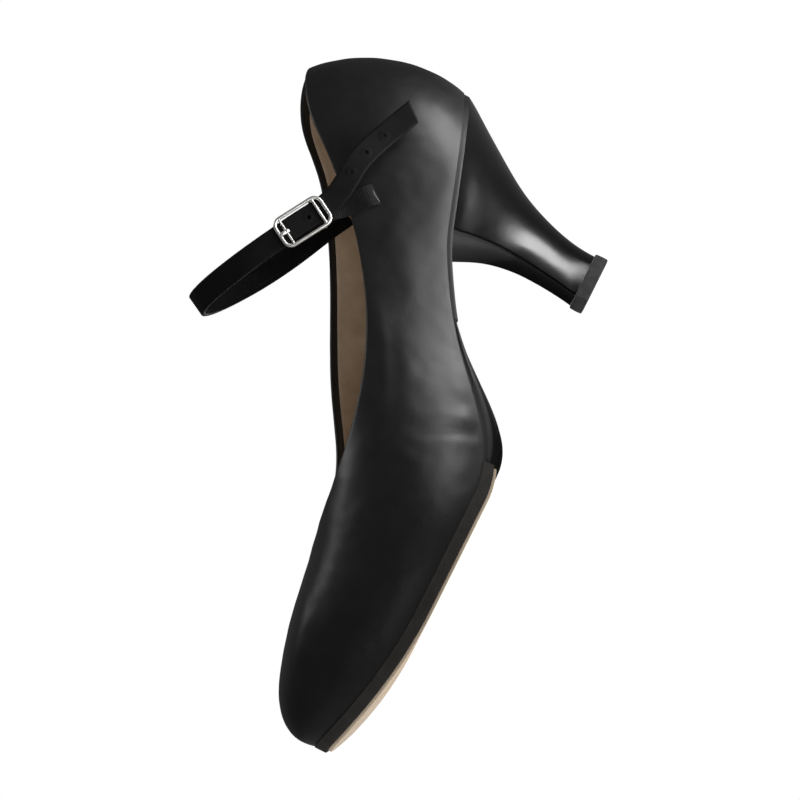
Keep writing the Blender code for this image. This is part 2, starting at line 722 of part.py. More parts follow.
def elasticRows(sides):
    # From the quarter's outer face over the topline to the under bar and round it.
    centre, forward, rising, face = buckleFrame(sides)
    bar = centre + forward * UNDER_BAR_PLACE - face * UNDER_BAR_DEPTH - rising * ELASTIC_DROP
    wrap = UNDER_BAR_RADIUS + BUCKLE_CLEAR + ELASTIC_THICK / 2.0
    startX, startZ = ELASTIC_START
    rows = []
    for share in ELASTIC_SHARES:
        x = startX + (bar.x - startX) * share
        z = startZ + (bar.z - startZ) * share
        reach = [sides.outside(x, z + offset) for offset in ELASTIC_PROBES]
        surface = max(value for value in reach if value is not None)
        rows.append((x, surface + ELASTIC_THICK / 2.0 + ELASTIC_CLEAR, z, ELASTIC_RUN_PITCH))
    last = bar + face * wrap - forward * ELASTIC_BEFORE_BAR
    rows.append((*last, ELASTIC_BAR_PITCH))
    for degrees in ELASTIC_WRAP:
        angle = math.radians(degrees)
        point = bar + face * math.sin(angle) * wrap + forward * math.cos(angle) * wrap
        rows.append((*point, ELASTIC_WRAP_PITCH))
    tail = bar - face * wrap - forward * ELASTIC_TAIL
    rows.append((*tail, ELASTIC_WRAP_PITCH))
    return rows


def makeElastic(sides):
    frames = bandFrames(elasticRows(sides), 1.1)
    return addObject("elastic_tab", bandMesh(frames, ELASTIC_WIDTH, ELASTIC_THICK), ELASTIC)


def main():
    clearScene()
    sides = Sides()
    makeUpper()
    makeForefootSole()
    makeTread()
    makeArchPanel()
    makeSeatSole()
    makeInsole()
    makeHeel()
    makeTopLift()
    makeStrap(sides)
    makeBuckle(sides)
    makeProng(sides)
    makeElastic(sides)


main()
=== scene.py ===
from math import copysign, cos, exp, pi, radians, sin, sqrt, tan

import bmesh
import bpy
import numpy as np
from mathutils import Matrix, Vector, noise
from mathutils.bvhtree import BVHTree


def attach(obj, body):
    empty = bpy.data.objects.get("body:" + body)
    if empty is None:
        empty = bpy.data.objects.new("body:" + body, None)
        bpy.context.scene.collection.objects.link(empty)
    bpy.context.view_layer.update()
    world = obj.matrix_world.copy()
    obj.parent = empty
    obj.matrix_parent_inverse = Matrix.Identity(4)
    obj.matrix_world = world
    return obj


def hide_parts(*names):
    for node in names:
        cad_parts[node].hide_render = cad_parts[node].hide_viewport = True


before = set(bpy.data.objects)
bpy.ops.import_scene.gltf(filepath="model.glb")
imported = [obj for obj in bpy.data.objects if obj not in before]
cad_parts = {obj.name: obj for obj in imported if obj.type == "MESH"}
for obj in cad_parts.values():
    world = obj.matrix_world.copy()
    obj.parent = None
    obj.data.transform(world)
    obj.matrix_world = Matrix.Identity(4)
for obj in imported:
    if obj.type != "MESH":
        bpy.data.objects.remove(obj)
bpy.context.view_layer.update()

mm = 0.001  # everything below is worked out in millimetres


def placed(name, data):
    made = bpy.data.objects.new(name, data)
    bpy.context.scene.collection.objects.link(made)
    return made


def meshFrom(name, bm):
    mesh = bpy.data.meshes.new(name)
    bm.to_mesh(mesh)
    bm.free()
    return mesh


def addNode(tree, kind, inputs=None, **settings):
    made = tree.nodes.new("ShaderNode" + kind)
    for key, value in settings.items():
        setattr(made, key, value)
    for key, value in (inputs or {}).items():
        if isinstance(value, bpy.types.NodeSocket):
            tree.links.new(value, made.inputs[key])
        else:
            made.inputs[key].default_value = value
    return made


def startMaterial(name, **sockets):
    material = bpy.data.materials.new(name)
    material.use_nodes = True
    shader = material.node_tree.nodes["Principled BSDF"]
    for key, value in sockets.items():
        shader.inputs[key.replace("_", " ")].default_value = value
    return material, material.node_tree, shader


def mapped(tree, value, low, high, fromLow=0, fromHigh=1):
    return addNode(tree, "MapRange", {"Value": value, "From Min": fromLow, "From Max": fromHigh,
                                      "To Min": low, "To Max": high}).outputs[0]


camera = {
    "target": (70.8, 0, 44.4),
    "turn": 13,  # degrees from the outer side towards the toe
    "distance": 2000,
    "height": 4,
    "across": 286.7,  # width of the picture at the target
    "roll": (0.447, 0.894),
}


def placeCamera():
    turn = radians(camera["turn"])
    target = Vector(camera["target"])
    place = target + Vector((sin(turn), cos(turn), 0)) * camera["distance"]
    place.z = camera["height"]
    forward = (target - place).normalized()
    level = forward.cross(Vector((0, 0, 1))).normalized()
    upright = level.cross(forward)
    short, long = camera["roll"]
    right = level * short - upright * long
    up = level * long + upright * short
    data = bpy.data.cameras.new("camera")
    data.sensor_width = 36
    data.lens = 36 * camera["distance"] / camera["across"]
    data.clip_end = 100
    turned = Matrix((right, up, -forward)).transposed().to_4x4()
    body = placed("camera", data)
    body.matrix_world = Matrix.Translation(place * mm) @ turned
    bpy.context.scene.camera = body


white = (1, 1, 1, 1)
light = {
    "skySeen": 1,  # the white that shows behind the shoe
    "skyLow": 0.06,  # what the leather mirrors at the horizon
    "skyHigh": 0.1,  # and overhead, reached at this height of the view
    "skyTop": 0.7,
    "floor": (0.45, 0.45, 0.45, 1),
    "floorSize": 40,  # in metres
    "floorLower": 0.05,  # under the sole, so the two faces don't lie in one plane
    "floorGlow": 0.9,  # the paper is lit evenly from below, as on a light table
    "floorMirrored": 0,  # of that glow, what shows in the gloss of the leather
    "sun": ((0.1, -0.45, 1), 0.85, 60),  # where it comes from, strength, how soft in degrees
    # name: place, aimed at, the two sizes, watts
    "lamps": [
        ("counter glow", (-350, 280, 45), (0, 0, 945), 240, 240, 1.75),
        ("waist glow", (10, 235, 3), (10, 235, 400), 150, 150, 0.17),
        ("ball glow", (16, 148, 3), (16, 148, 400), 60, 60, 0.13),
        ("heel glow", (-78, 74, 3), (-78, 74, 400), 122, 46, 0.46),
        ("toe glow", (210, 170, 3), (210, 170, 400), 140, 120, 0.09),
        ("overhead", (70, 0, 650), (70, 0, 0), 360, 170, 0.6),
        ("inner glow", (-10, -235, 3), (-10, -235, 400), 180, 140, 0.26),
    ],
}


def aimed(place, target):
    # turns a lamp's own -Z towards the target
    return (Vector(target) - Vector(place)).to_track_quat("-Z", "Y").to_matrix().to_4x4()


def makeStage():
    scene = bpy.context.scene
    scene.world = bpy.data.worlds.new("studio")
    scene.world.use_nodes = True
    tree = scene.world.node_tree
    tree.nodes.clear()
    where = addNode(tree, "TexCoord").outputs["Generated"]
    height = addNode(tree, "SeparateXYZ", {0: where}).outputs["Z"]
    sky = mapped(tree, height, light["skyLow"], light["skyHigh"], 0, light["skyTop"])
    low = addNode(tree, "Background", {"Color": white, "Strength": sky}).outputs[0]
    high = addNode(tree, "Background", {"Color": white, "Strength": light["skySeen"]}).outputs[0]
    seen = addNode(tree, "LightPath").outputs["Is Camera Ray"]
    both = addNode(tree, "MixShader", {0: seen, 1: low, 2: high}).outputs[0]
    addNode(tree, "OutputWorld", {0: both})

    data = bpy.data.lights.new("sky", "SUN")
    towards, data.energy, softness = light["sun"]
    data.angle = radians(softness)
    sun = placed("sky", data)
    sun.matrix_world = aimed(towards, (0, 0, 0))
    sun.visible_glossy = False
    for name, place, target, across, up, watts in light["lamps"]:
        data = bpy.data.lights.new(name, "AREA")
        data.shape = "RECTANGLE"
        data.size, data.size_y = across * mm, up * mm
        data.energy = watts
        lamp = placed(name, data)
        lamp.matrix_world = Matrix.Translation(Vector(place) * mm) @ aimed(place, target)
        lamp.visible_camera = False

    bm = bmesh.new()
    bmesh.ops.create_grid(bm, x_segments=1, y_segments=1, size=light["floorSize"])
    bmesh.ops.translate(bm, verts=bm.verts, vec=(0, 0, -light["floorLower"] * mm))
    floor = placed("floor", meshFrom("floor", bm))
    paper, tree, shader = startMaterial("white paper", Base_Color=light["floor"], Roughness=0.9,
                                        Specular_IOR_Level=0, Emission_Color=white)
    glossy = addNode(tree, "LightPath").outputs["Is Glossy Ray"]
    glow = mapped(tree, glossy, light["floorGlow"], light["floorMirrored"])
    tree.links.new(glow, shader.inputs["Emission Strength"])
    # seen from below the sheet is clear, so the sole can be looked at
    below = addNode(tree, "NewGeometry").outputs["Backfacing"]
    clear = addNode(tree, "BsdfTransparent").outputs[0]
    sheet = addNode(tree, "MixShader", {0: below, 1: shader.outputs[0], 2: clear}).outputs[0]
    tree.links.new(sheet, tree.nodes["Material Output"].inputs[0])
    floor.data.materials.append(paper)
    scene.view_settings.view_transform = "Standard"


placeCamera()
makeStage()
print("camera and light")


def combined(tree, how, first, second):
    return addNode(tree, "Math", {0: first, 1: second}, operation=how).outputs[0]


def blended(tree, share, first, second):
    ramp = addNode(tree, "ValToRGB", {"Fac": share})
    ramp.color_ramp.elements[0].color = (*first, 1)
    ramp.color_ramp.elements[1].color = (*second, 1)
    return ramp.outputs[0]


def bumped(tree, shader, *layers):
    # each layer is a height, its strength and its depth in millimetres
    normal = None
    for height, strength, depth in layers:
        inputs = {"Height": height, "Strength": strength, "Distance": depth * mm}
        if normal:
            inputs["Normal"] = normal
        normal = addNode(tree, "Bump", inputs).outputs[0]
    tree.links.new(normal, shader.inputs["Normal"])


def noiseAt(tree, size, detail=3, rough=0.55, stretch=None):
    where = addNode(tree, "TexCoord").outputs["Object"]
    if stretch:
        where = addNode(tree, "Mapping", {"Vector": where, "Scale": stretch}).outputs[0]
    return addNode(tree, "TexNoise", {"Vector": where, "Scale": 1000 / size, "Detail": detail,
                                      "Roughness": rough}).outputs[0]


def cellsAt(tree, size):
    where = addNode(tree, "TexCoord").outputs["Object"]
    return addNode(tree, "TexVoronoi", {"Vector": where, "Scale": 1000 / size}).outputs["Distance"]


def finishLook(tree, shader, colour, rough, *layers):
    tree.links.new(colour, shader.inputs["Base Color"])
    if rough:
        tree.links.new(rough, shader.inputs["Roughness"])
    bumped(tree, shader, *layers)


def leatherLook(name, dark, light, gloss, grain, depth, coat=0, wear=0, shine=0.5):
    # grain: size of the pebbles in mm. gloss: lowest and highest roughness
    material, tree, shader = startMaterial(name, Coat_Weight=coat, Coat_Roughness=0.32,
                                           Specular_IOR_Level=shine)
    tone = noiseAt(tree, 9, 4)
    colour = blended(tree, mapped(tree, tone, 0, 1, 0.35, 0.65), dark, light)
    patch = noiseAt(tree, 14, 5, 0.6)
    rough = mapped(tree, patch, gloss[0], gloss[1], 0.3, 0.7)
    if wear:
        worn = addNode(tree, "Attribute", attribute_name="wear").outputs["Fac"]
        scuff = mapped(tree, noiseAt(tree, 1.6, 6, 0.7, (1, 1, 3)), 0, 1, 0.5, 0.72)
        worn = combined(tree, "MULTIPLY", worn, scuff)
        rough = combined(tree, "ADD", rough, combined(tree, "MULTIPLY", worn, wear))
    pebbles = mapped(tree, cellsAt(tree, grain), 0, 1, 0.1, 0.6)
    pores = noiseAt(tree, grain * 0.45, 4, 0.6)
    lie = noiseAt(tree, 3.2, 3, 0.5)
    finishLook(tree, shader, colour, rough,
               (lie, 0.25, 0.12), (pebbles, 0.35, depth), (pores, 0.3, depth * 0.7))
    return material


def makeMaterials():
    looks = {
        "upper": leatherLook("upper leather", (0.002, 0.002, 0.0022), (0.0034, 0.0034, 0.0037),
                             (0.34, 0.44), 0.55, 0.035, coat=0.3, wear=0.25),
        "strap": leatherLook("strap leather", (0.0012, 0.0012, 0.0014), (0.0024, 0.0024, 0.0027),
                             (0.5, 0.66), 0.5, 0.06, shine=0.15),
        # the slit's raw edge: its light grey is partly wear and partly a painted highlight
        "slit": leatherLook("slit edge wear and painted highlight", (0.02, 0.02, 0.021), (0.06, 0.06, 0.062), (0.5, 0.7), 0.5, 0.04),
        "arch": leatherLook("arch leather", (0.003, 0.003, 0.0033), (0.0055, 0.0055, 0.006),
                            (0.46, 0.58), 0.7, 0.05, coat=0.05, shine=0.4),
        "lining": leatherLook("lining leather", (0.52, 0.4, 0.28), (0.64, 0.51, 0.38), (0.55, 0.7), 0.8, 0.04),
    }

    # painted leather edge: dark brown black, fine layers along the sole
    looks["sole"], tree, shader = startMaterial("painted sole edge", Specular_IOR_Level=0.35)
    layers = noiseAt(tree, 0.9, 3, 0.6, (0.12, 0.12, 2))
    colour = blended(tree, noiseAt(tree, 5), (0.018, 0.0165, 0.0145), (0.042, 0.038, 0.032))
    rough = mapped(tree, layers, 0.55, 0.78, 0.3, 0.7)
    finishLook(tree, shader, colour, rough, (layers, 0.4, 0.06), (noiseAt(tree, 0.25), 0.2, 0.02))

    # beige suede: a short brushed nap with darker lines where it was rubbed
    looks["suede"], tree, shader = startMaterial("beige suede", Roughness=1, Specular_IOR_Level=0.15,
                                                 Sheen_Weight=0.35, Sheen_Roughness=0.6,
                                                 Sheen_Tint=(0.9, 0.8, 0.68, 1))
    nap = noiseAt(tree, 0.35, 5, 0.7, (0.45, 1, 1))
    rubbed = noiseAt(tree, 16, 4, 0.6, (0.5, 1, 1))
    share = combined(tree, "ADD", combined(tree, "MULTIPLY", nap, 0.55),
                     combined(tree, "MULTIPLY", rubbed, 0.45))
    colour = blended(tree, mapped(tree, share, 0, 1, 0.35, 0.65), (0.33, 0.255, 0.18), (0.62, 0.51, 0.39))
    finishLook(tree, shader, colour, None, (rubbed, 0.3, 0.15), (nap, 0.7, 0.12))

    # heel: gloss black with the faintest waviness
    looks["heel"], tree, shader = startMaterial("gloss black heel", Specular_IOR_Level=0.3)
    haze = noiseAt(tree, 11, 6, 0.65)
    fine = noiseAt(tree, 0.8, 5, 0.6, (1, 1, 0.4))
    rough = combined(tree, "ADD", mapped(tree, haze, 0.12, 0.17, 0.3, 0.7),
                     mapped(tree, fine, 0, 0.03, 0.5, 0.8))
    colour = blended(tree, haze, (0.0012, 0.0012, 0.0014), (0.0022, 0.0022, 0.0024))
    finishLook(tree, shader, colour, rough, (noiseAt(tree, 6, 2), 0.25, 0.06))

    # top lift: matte rubber with a fine moulded stipple
    looks["rubber"], tree, shader = startMaterial("matte rubber", Specular_IOR_Level=0.35)
    dust = noiseAt(tree, 2.4, 5, 0.65)
    colour = blended(tree, mapped(tree, dust, 0, 1, 0.35, 0.7), (0.045, 0.045, 0.046), (0.085, 0.084, 0.082))
    rough = mapped(tree, dust, 0.62, 0.85, 0.3, 0.7)
    finishLook(tree, shader, colour, rough, (cellsAt(tree, 0.45), 0.6, 0.09), (noiseAt(tree, 0.2), 0.3, 0.03))

    # elastic: woven across, read from its own UV map
    looks["elastic"], tree, shader = startMaterial("black elastic", Specular_IOR_Level=0.15, Sheen_Weight=0.02,
                                                   Sheen_Roughness=0.5)
    where = addNode(tree, "TexCoord").outputs["UV"]
    cords = addNode(tree, "TexWave", {"Vector": where, "Scale": 10.7, "Distortion": 0.3, "Detail": 1},
                    wave_type="BANDS", bands_direction="Y").outputs["Fac"]
    yarn = addNode(tree, "TexWave", {"Vector": where, "Scale": 14, "Distortion": 0.6},
                   wave_type="BANDS", bands_direction="X").outputs["Fac"]
    share = combined(tree, "MULTIPLY", cords, mapped(tree, yarn, 0.55, 1))
    colour = blended(tree, share, (0.001, 0.001, 0.0011), (0.0075, 0.0075, 0.008))
    finishLook(tree, shader, colour, mapped(tree, share, 0.9, 0.62), (cords, 0.6, 0.12), (yarn, 0.5, 0.06))

    # buckle: polished nickel with hairline marks
    looks["nickel"], tree, shader = startMaterial("polished nickel", Metallic=0.85)
    hair = noiseAt(tree, 0.5, 5, 0.7, (0.25, 1, 2.5))
    film = noiseAt(tree, 4, 4)
    colour = blended(tree, film, (0.62, 0.605, 0.58), (0.78, 0.77, 0.75))
    rough = combined(tree, "ADD", mapped(tree, film, 0.24, 0.34, 0.3, 0.7),
                     mapped(tree, hair, 0, 0.06, 0.5, 0.75))
    finishLook(tree, shader, colour, rough, (hair, 0.1, 0.006))
    return looks


looks = makeMaterials()
print("materials")

# the shoe's lines, the same as in the source

lines = {
    "wall": 1.8,
    "seatBackX": -41.6, "seatBackZ": 74,
    "breastX": 12, "breastZ": 56.5,
    "flatStartX": 98, "flatEndX": 141, "featherZ": 5.5,
    "toeTipX": 195.5, "toeSpring": 10.4,
    "gap": 0.3,
    "pressed": 0.02,  # in the looks the pieces are pressed together, with no light between them
}

waistRows = [(12, 56.5), (30, 47.6), (47, 36.2), (64, 21.6), (80, 10.2), (90, 6.4), (98, 5.5)]

# feather edge x, y; topline x, y, z; how far the rib's two handles stand out and rise
heelBack = (-41.6, 0, -24.4, 0, 127.5, 5.5, 18, 14.5, 12)
rearRows = [(-32, 16.8, -19.5, 9.2, 127.2, 5, 18, 11, 13),
            (-14, 25, -7, 16.6, 120.5, 3.6, 17, 8, 15),
            (8, 26.4, 6.5, 21.2, 106.5, 2.6, 15, 5.2, 14)]
outerRows = [(28, 26.2, 25, 24.3, 88, 2.6, 12, 3.6, 11),
             (48, 26.8, 44.5, 26.4, 73.5, 2.6, 11, 2.8, 10),
             (68, 30, 62.5, 28.2, 64, 2.8, 13, 4.5, 10),
             (89, 35, 83, 28.4, 57, 3, 16, 7, 11),
             (111, 38.4, 104, 25.5, 53, 3, 17, 9.5, 8),
             (134, 35.6, 121, 18, 51, 2.8, 18, 12, 5.5),
             (158, 27.4, 130.5, 10.5, 49.2, 2.8, 20, 17.5, 4.5),
             (180.5, 13.2, 135.6, 3.6, 48.2, 3.4, 19.8, 28, 5)]
toeTip = (195.5, -7.5, 137.2, -3.4, 47.8, 5.6, 19.6, 36.5, 5.5)
innerRows = [(185, -24.6, 135.4, -9.6, 47.9, 3.6, 19.6, 28, 5),
             (161, -37, 130, -15.2, 48.4, 2.8, 20, 17.5, 5),
             (138, -41, 121, -20.4, 49.4, 2.8, 18, 12, 6),
             (116, -38.8, 105, -25.6, 52, 2.8, 17, 9, 9),
             (94, -31, 89, -28.4, 58.5, 4.2, 17, 6, 12),
             (73, -23.4, 71.5, -28.4, 69, 7, 18, 4, 13),
             (52, -20, 51, -27.4, 79.5, 7, 15, 3, 12),
             (30, -21.6, 29, -25, 91, 5, 14, 3.4, 12)]


def distances(points):
    # from the first point along the line to each of them
    return np.concatenate([[0], np.cumsum(np.linalg.norm(np.diff(points, axis=0), axis=1))])


def curveThrough(knots, values, closed=False, slopes=None):
    # a smooth curve through the values, for one place or an array of places
    knots, values = np.asarray(knots, float), np.asarray(values, float)
    spans = np.diff(knots)
    count = len(knots)
    size = count - 1 if closed else count
    grid, right = np.zeros((size, size)), np.zeros((size,) + values.shape[1:])
    for i in range(size) if closed else range(1, count - 1):
        before, after = spans[i - 1], spans[i]
        grid[i, i - 1] += before
        grid[i, i] += 2 * (before + after)
        grid[i, (i + 1) % size] += after
        fall = (values[i] - values[i - 1 if i else size - 1]) / before
        right[i] = 6 * ((values[i + 1] - values[i]) / after - fall)
    if not closed:
        grid[0, 0] = grid[-1, -1] = 1
    if slopes:
        grid[0, 0:2] = 2 * spans[0], spans[0]
        right[0] = 6 * ((values[1] - values[0]) / spans[0] - slopes[0])
        grid[-1, -2:] = spans[-1], 2 * spans[-1]
        right[-1] = 6 * (slopes[1] - (values[-1] - values[-2]) / spans[-1])
    bend = np.linalg.solve(grid, right)
    if closed:
        bend = np.concatenate([bend, bend[:1]])

    def at(places):
        single = np.isscalar(places)
        places = np.atleast_1d(np.asarray(places, float))
        i = np.clip(np.searchsorted(knots, places) - 1, 0, count - 2)
        span = spans[i]
        a = (knots[i + 1] - places) / span
        b = 1 - a
        if values.ndim > 1:
            a, b, span = a[:, None], b[:, None], span[:, None]
        curve = (a ** 3 - a) * bend[i] + (b ** 3 - b) * bend[i + 1]
        found = a * values[i] + b * values[i + 1] + curve * span * span / 6
        return found[0] if single else found

    return at


seatSlope = (lines["breastZ"] - lines["seatBackZ"]) / (lines["breastX"] - lines["seatBackX"])
waistCurve = curveThrough([x for x, z in waistRows], [z for x, z in waistRows], slopes=(seatSlope, 0))


def featherZ(x):
    x = np.asarray(x, float)
    waist = waistCurve(np.clip(x, lines["breastX"], lines["flatStartX"]).ravel()).reshape(x.shape)
    toe = np.clip((x - lines["flatEndX"]) / (lines["toeTipX"] - lines["flatEndX"]), 0, None)
    front = lines["featherZ"] + lines["toeSpring"] * toe ** 2
    seat = lines["breastZ"] + (x - lines["breastX"]) * seatSlope
    return np.where(x < lines["breastX"], seat, np.where(x < lines["flatStartX"], waist, front))


def soleTop(x):
    return float(featherZ(x)) - lines["gap"]


def pressedTop(x, s=0):
    return float(featherZ(x)) - lines["pressed"]


mirrored = [(x, -y, topX, -topY, *rest) for x, y, topX, topY, *rest in reversed(rearRows)]
ribRows = np.array([heelBack, *rearRows, *outerRows, toeTip, *innerRows, *mirrored, heelBack])
ribKnots = distances(ribRows[:, :2])
ribCurve = curveThrough(ribKnots, ribRows, closed=True)
ribTotal = ribKnots[-1]


def outwardAt(places):
    along = ribCurve((places + 0.5) % ribTotal)[:, :2] - ribCurve((places - 0.5) % ribTotal)[:, :2]
    along /= np.linalg.norm(along, axis=1)[:, None]
    return np.stack([-along[:, 1], along[:, 0], np.zeros(len(along))], axis=1)


def upperSurface(places, shares):
    # points of the upper's outside, one row for each share of the way from feather edge to topline
    values = ribCurve(places % ribTotal)
    side = outwardAt(places)
    rise = np.array([0, 0, 1])
    foot = np.stack([values[:, 0], values[:, 1], featherZ(values[:, 0])], axis=1)
    top = values[:, 2:5]
    low = foot + side * values[:, 5:6] + rise * values[:, 6:7]
    high = top + side * values[:, 7:8] - rise * values[:, 8:9]
    t = np.asarray(shares)[:, None, None]
    s = 1 - t
    return foot * s ** 3 + low * 3 * s * s * t + high * 3 * s * t * t + top * t ** 3


def surfaceNormals(points):
    around = np.roll(points, -1, axis=1) - np.roll(points, 1, axis=1)
    up = np.gradient(points, axis=0)
    normals = np.cross(up, around)
    return normals / np.linalg.norm(normals, axis=2)[:, :, None]


class Outline:
    # the feather edge from above, moved in by inset
    def __init__(self, inset):
        places = ribTotal * np.arange(720) / 720
        points = ribCurve(places)[:, :2] - outwardAt(places)[:, :2] * inset
        points = np.roll(points, -int(points[:, 0].argmin()), axis=0)
        tip = int(points[:, 0].argmax())
        self.outer, self.inner = points[:tip + 1], np.concatenate([points[tip:], points[:1]])[::-1]
        self.minX, self.maxX = float(points[0, 0]), float(points[tip, 0])

    def outerY(self, x):
        return float(np.interp(x, self.outer[:, 0], self.outer[:, 1]))

    def innerY(self, x):
        return float(np.interp(x, self.inner[:, 0], self.inner[:, 1]))


def gridOnto(points):
    # a grid laid onto rows of points, with its own UV map from 0 to 1 each way
    points = np.asarray(points, float)
    rows, columns = points.shape[:2]
    bm = bmesh.new()
    bm.loops.layers.uv.new("UVMap")
    bmesh.ops.create_grid(bm, x_segments=columns - 1, y_segments=rows - 1, size=0.5, calc_uvs=True)
    for vert in bm.verts:
        column = round((vert.co.x + 0.5) * (columns - 1))
        row = round((vert.co.y + 0.5) * (rows - 1))
        vert.co = points[row, column]
    return bm


def finishPiece(name, bm, look, stands=(), crisp=35):
    # crisp: an edge that turns by more than this many degrees stays sharp
    bmesh.ops.remove_doubles(bm, verts=bm.verts, dist=0.0005)
    bmesh.ops.recalc_face_normals(bm, faces=bm.faces)
    bmesh.ops.scale(bm, vec=(mm, mm, mm), verts=bm.verts)
    mesh = meshFrom(name, bm)
    mesh.shade_smooth()
    mesh.set_sharp_from_angle(angle=radians(crisp))
    mesh.materials.append(looks[look])
    piece = placed(name, mesh)
    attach(piece, "root")
    if stands:
        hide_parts(*stands)
    return piece


def ringsMesh(rings, closedAlong=False):
    # closed rings joined along; the open ends are filled
    rings = np.asarray(rings, float)
    rings = np.concatenate([rings, rings[:, :1]], axis=1)
    if closedAlong:
        rings = np.concatenate([rings, rings[:1]], axis=0)
    bm = gridOnto(rings)
    bmesh.ops.remove_doubles(bm, verts=bm.verts, dist=0.0005)
    if not closedAlong:
        ends = [edge for edge in bm.edges if edge.is_boundary]
        bmesh.ops.holes_fill(bm, edges=ends, sides=0)
    return bm


def softNoise(points, size, seed=0):
    shift = Vector((seed, seed * 1.7, -seed))
    flat = points.reshape(-1, 3)
    found = np.array([noise.noise(Vector(point) / size + shift) for point in flat])
    return found.reshape(points.shape[:-1])


def strokeHeight(across, line, height, width):
    # across: points seen flat, two numbers each. line: places that a fold runs through
    knots = distances(line)
    run = curveThrough(knots, line)(np.linspace(0, knots[-1], 36))
    flat = across.reshape(-1, 2)
    away, share = np.full(len(flat), 1e9), np.zeros(len(flat))
    for i, place in enumerate(run):
        here = np.hypot(flat[:, 0] - place[0], flat[:, 1] - place[1])
        nearer = here < away
        away[nearer], share[nearer] = here[nearer], i / 35
    ends = np.clip(np.minimum(share, 1 - share) * 4 + 0.12, 0, 1)
    return (height * ends * np.exp(-(away / width) ** 2)).reshape(across.shape[:-1])


upper = {
    "columns": 640,
    "rows": 60,
    "insideRows": 18,
    "middle": -2,  # y where the outer side ends and the inner side starts
    "lie": 0.16,  # slow unevenness of the leather over the last
    # by side: places along each fold, its height (below 0 is a trough) and half width
    "folds": {
        "outer": [
            ([(76.5, 13), (78.6, 18), (82, 24.5), (85.4, 31), (89, 39)], -0.32, 2.8),
            ([(80.6, 14), (84.6, 22.5), (88.2, 29.5), (92, 37)], 0.2, 3.4),
            ([(72, 15), (76, 24), (80, 33), (84, 43)], 0.3, 4),
            ([(99, 29), (100, 37), (101.5, 46)], -0.16, 2.6),
            ([(94, 30), (95.5, 38), (97, 47)], 0.1, 2.8),
            ([(50, 65.5), (58.2, 60.5), (72, 53), (88.8, 46)], 0.14, 2),
            ([(52, 59.5), (60, 55), (74, 47.5), (86, 42.5)], -0.12, 2.4),
            ([(20, 70), (34, 61.5), (48, 53)], 0.25, 5),
            ([(8, 88), (22, 80), (36, 71)], -0.2, 4),
        ],
        "inner": [
            ([(80, 18), (86, 28), (91, 40)], -0.5, 2),
            ([(84, 18), (90, 28), (96, 41)], 0.32, 2.3),
            ([(100, 26), (103, 35), (105, 44)], -0.18, 2.4),
            ([(68, 26), (74, 38), (78, 50)], -0.2, 3),
            ([(56, 70), (68, 62), (84, 52)], 0.14, 2.2),
        ],
        "top": [
            ([(112, 26), (116, 20), (126, 12)], -0.14, 3),
            ([(124, 22), (131, 16), (139, 6)], 0.12, 3.4),
            ([(118, -31), (126, -24), (136, -16)], -0.14, 3),
        ],
    },
    # where the quarter and the vamp are sewn together on the inner side, as x and z
    "sideSeam": [(61, 74), (57.5, 64), (55, 52), (53.5, 38)],
    "seam": (0.55, 0.7),  # depth and half width of its line
    "step": (0.45, 1.6),  # and of the raised edge beside it
    "turns": 8,  # steps of the folded edge of the topline
    # rubbed places: the lowest millimetres and how much; the toe from x, over a length, up to a height
    "rubbedLow": (6, 0.6),
    "rubbedToe": (176, 20, 16),
}


def foldsOver(points):
    # heights of the folds that were listed
    height = np.zeros(points.shape[:-1])
    beside, above, y = points[..., [0, 2]], points[..., :2], points[..., 1]
    views = {"outer": (beside, y > upper["middle"]), "inner": (beside, y < upper["middle"]), "top": (above, 1)}
    for side, (seen, there) in views.items():
        for line, rise, width in upper["folds"][side]:
            height += strokeHeight(seen, line, rise, width) * there
    return height


def makeUpper():
    places = ribTotal * np.arange(upper["columns"]) / upper["columns"]
    shares = np.linspace(0, 1, upper["rows"] + 1)
    outside = upperSurface(places, shares)
    normals = surfaceNormals(outside)
    height = foldsOver(outside)
    height += upper["lie"] * softNoise(outside, 13) + upper["lie"] * 0.6 * softNoise(outside, 5.5, 3)
    innerSide, seen = outside[..., 1] < 0, outside[..., [0, 2]]
    depth, width = upper["seam"]
    rise, reach = upper["step"]
    height += strokeHeight(seen - (reach, 0), upper["sideSeam"], rise, reach) * innerSide
    height -= strokeHeight(seen, upper["sideSeam"], depth, width) * innerSide
    calm = np.clip(shares * 14, 0, 1)[:, None]  # the leather lies still where it is lasted under
    lifted = outside + normals * (height * calm)[..., None]
    inside = outside - normals * lines["wall"]
    inside[0, :, 2] = outside[0, :, 2]
    # the folded edge of the topline
    upward = lifted[-1] - lifted[-2]
    upward /= np.linalg.norm(upward, axis=1)[:, None]
    middle, radius = (lifted[-1] + inside[-1]) / 2, lines["wall"] / 2
    angles = [pi * i / upper["turns"] for i in range(1, upper["turns"])]
    fold = [middle + (lifted[-1] - middle) * cos(a) + upward * radius * sin(a) for a in angles]
    keep = np.linspace(upper["rows"], 0, upper["insideRows"] + 1).round().astype(int)
    rings = np.concatenate([lifted, np.array(fold), inside[keep]])
    bm = ringsMesh(rings, closedAlong=True)
    addWear(finishPiece("leather_upper", bm, "upper", ["upper"]))
    return outside, inside


def addWear(piece):
    wear = piece.data.attributes.new("wear", "FLOAT", "POINT")
    places = np.empty(len(piece.data.vertices) * 3)
    piece.data.vertices.foreach_get("co", places)
    x, y, z = places.reshape(-1, 3).T / mm
    above = z - featherZ(x)
    reach, share = upper["rubbedLow"]
    start, length, top = upper["rubbedToe"]
    low = np.clip(1 - above / reach, 0, 1) ** 2
    toe = np.clip((x - start) / length, 0, 1) * np.clip(1 - above / top, 0, 1)
    wear.data.foreach_set("value", np.clip(low * share + toe, 0, 1).astype(np.float32))


outerFace, innerFace = makeUpper()
print("upper")


